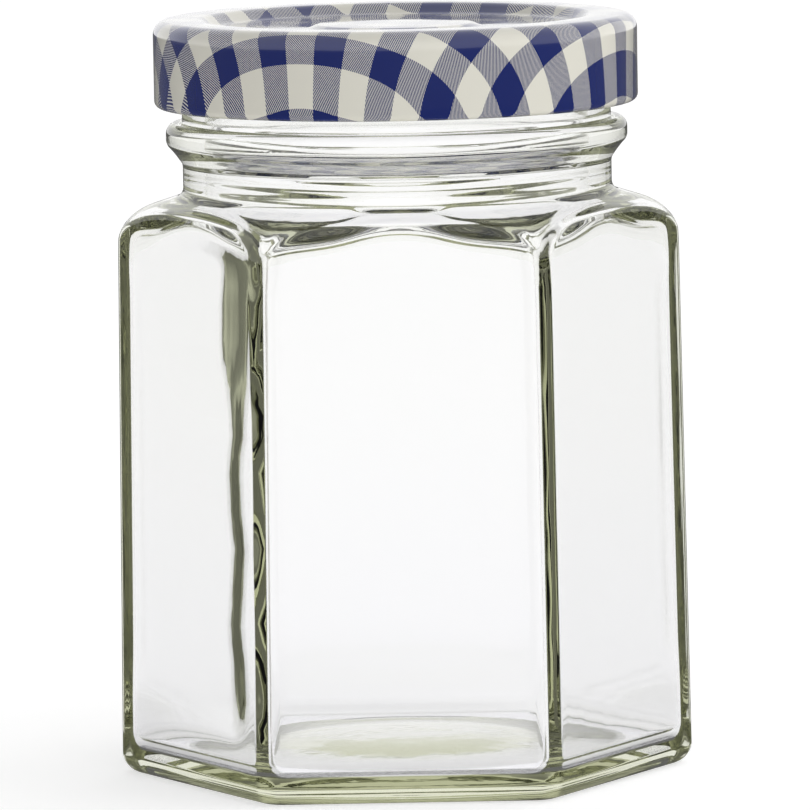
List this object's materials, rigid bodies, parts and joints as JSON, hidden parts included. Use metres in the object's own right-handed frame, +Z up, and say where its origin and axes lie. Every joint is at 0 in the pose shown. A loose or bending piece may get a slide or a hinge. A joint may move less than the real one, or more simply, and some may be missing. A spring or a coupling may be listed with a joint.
{
  "type": "preserving jar",
  "caption": "Empty clear-glass preserving jar with a hexagonal body, a carrying bead and a twist-off steel lid printed with a gingham check.",
  "frame": {"origin": "on the jar's axis, at the level that it stands on", "axes": "+Z up along the jar's axis; -Y is the front, square to one flat side of the six-sided body; +X to the right as seen from the front, through an upright corner of the body"},
  "size_m": [0.0598, 0.0524, 0.0789],
  "materials": {
    "glass": "clear pressed glass with a faint olive-green tint",
    "lid_print": "glossy lacquered steel, dark blue and cream gingham check",
    "liner": "soft matt sealing ring"
  },
  "bodies": {
    "root": {"jar": "glass", "lid": "lid_print", "liner": "liner"}
  },
  "joints": []
}
